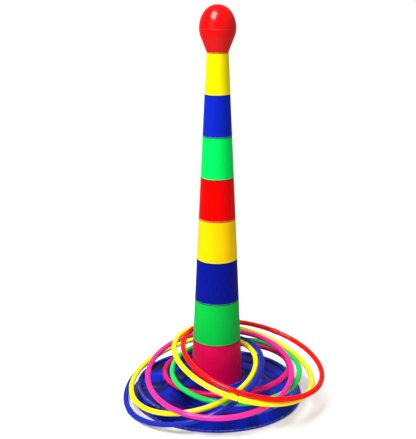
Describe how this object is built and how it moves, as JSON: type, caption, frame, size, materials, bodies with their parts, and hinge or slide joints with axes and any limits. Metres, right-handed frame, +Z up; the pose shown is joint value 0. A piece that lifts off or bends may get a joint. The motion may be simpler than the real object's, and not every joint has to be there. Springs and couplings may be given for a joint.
{
  "type": "ring toss set",
  "caption": "Ring toss game: a round moulded base, a tapered pole of stacked coloured cups with an egg-shaped knob, and loose hollow tube rings lying over the pole.",
  "frame": {"origin": "middle of the ring-shaped face that the base stands on, on the pole's axis", "axes": "+Z up along the pole, +Y away from the viewer, +X to the viewer's right"},
  "size_m": [0.216, 0.1994, 0.4168],
  "materials": {
    "navy_plastic": "gloss moulded",
    "magenta_plastic": "gloss moulded",
    "green_plastic": "gloss moulded",
    "blue_plastic": "gloss moulded",
    "amber_yellow_plastic": "gloss moulded",
    "red_plastic": "gloss moulded",
    "light_green_plastic": "gloss moulded",
    "royal_blue_plastic": "gloss moulded",
    "yellow_plastic": "gloss moulded",
    "hot_pink_tube": "gloss extruded",
    "green_tube": "gloss extruded",
    "blue_tube": "gloss extruded",
    "yellow_tube": "gloss extruded",
    "pink_tube": "gloss extruded",
    "red_tube": "gloss extruded"
  },
  "bodies": {
    "base": {"base": "navy_plastic"},
    "cup_body_1_magenta": {"cup_1_magenta": "magenta_plastic"},
    "cup_body_2_green": {"cup_2_green": "green_plastic"},
    "cup_body_3_blue": {"cup_3_blue": "blue_plastic"},
    "cup_body_4_yellow": {"cup_4_yellow": "amber_yellow_plastic"},
    "cup_body_5_red": {"cup_5_red": "red_plastic"},
    "cup_body_6_green": {"cup_6_green": "light_green_plastic"},
    "cup_body_7_blue": {"cup_7_blue": "royal_blue_plastic"},
    "cup_body_8_yellow": {"cup_8_yellow": "yellow_plastic"},
    "knob": {"knob_lower_shell": "red_plastic", "knob_upper_shell": "red_plastic"},
    "ring_hot_pink_body": {"ring_hot_pink": "hot_pink_tube", "ring_hot_pink_plug": "hot_pink_tube"},
    "ring_green_body": {"ring_green": "green_tube", "ring_green_plug": "green_tube"},
    "ring_blue_body": {"ring_blue": "blue_tube", "ring_blue_plug": "blue_tube"},
    "ring_yellow_left_body": {"ring_yellow_left": "yellow_tube", "ring_yellow_left_plug": "yellow_tube"},
    "ring_pink_body": {"ring_pink": "pink_tube", "ring_pink_plug": "pink_tube"},
    "ring_yellow_right_body": {"ring_yellow_right": "yellow_tube", "ring_yellow_right_plug": "yellow_tube"},
    "ring_red_body": {"ring_red": "red_tube", "ring_red_plug": "red_tube"}
  },
  "joints": [
    {"name": "cup_1_magenta_lift", "type": "slide", "parent": "base", "child": "cup_body_1_magenta", "axis": [0, 0, 1], "range_m": [0, 0.06]},
    {"name": "cup_2_green_lift", "type": "slide", "parent": "cup_body_1_magenta", "child": "cup_body_2_green", "axis": [0, 0, 1], "range_m": [0, 0.06]},
    {"name": "cup_3_blue_lift", "type": "slide", "parent": "cup_body_2_green", "child": "cup_body_3_blue", "axis": [0, 0, 1], "range_m": [0, 0.06]},
    {"name": "cup_4_yellow_lift", "type": "slide", "parent": "cup_body_3_blue", "child": "cup_body_4_yellow", "axis": [0, 0, 1], "range_m": [0, 0.06]},
    {"name": "cup_5_red_lift", "type": "slide", "parent": "cup_body_4_yellow", "child": "cup_body_5_red", "axis": [0, 0, 1], "range_m": [0, 0.06]},
    {"name": "cup_6_green_lift", "type": "slide", "parent": "cup_body_5_red", "child": "cup_body_6_green", "axis": [0, 0, 1], "range_m": [0, 0.06]},
    {"name": "cup_7_blue_lift", "type": "slide", "parent": "cup_body_6_green", "child": "cup_body_7_blue", "axis": [0, 0, 1], "range_m": [0, 0.06]},
    {"name": "cup_8_yellow_lift", "type": "slide", "parent": "cup_body_7_blue", "child": "cup_body_8_yellow", "axis": [0, 0, 1], "range_m": [0, 0.06]},
    {"name": "knob_lift", "type": "slide", "parent": "cup_body_8_yellow", "child": "knob", "axis": [0, 0, 1], "range_m": [0, 0.06]},
    {"name": "ring_hot_pink_lift", "type": "slide", "parent": "base", "child": "ring_hot_pink_body", "axis": [0, 0, 1], "range_m": [0, 0.43]},
    {"name": "ring_green_lift", "type": "slide", "parent": "ring_hot_pink_body", "child": "ring_green_body", "axis": [0, 0, 1], "range_m": [0, 0.43]},
    {"name": "ring_blue_lift", "type": "slide", "parent": "ring_green_body", "child": "ring_blue_body", "axis": [0, 0, 1], "range_m": [0, 0.43]},
    {"name": "ring_yellow_left_lift", "type": "slide", "parent": "ring_blue_body", "child": "ring_yellow_left_body", "axis": [0, 0, 1], "range_m": [0, 0.43]},
    {"name": "ring_pink_lift", "type": "slide", "parent": "ring_yellow_left_body", "child": "ring_pink_body", "axis": [0, 0, 1], "range_m": [0, 0.43]},
    {"name": "ring_yellow_right_lift", "type": "slide", "parent": "ring_pink_body", "child": "ring_yellow_right_body", "axis": [0, 0, 1], "range_m": [0, 0.43]},
    {"name": "ring_red_lift", "type": "slide", "parent": "ring_yellow_right_body", "child": "ring_red_body", "axis": [0, 0, 1], "range_m": [0, 0.43]}
  ]
}
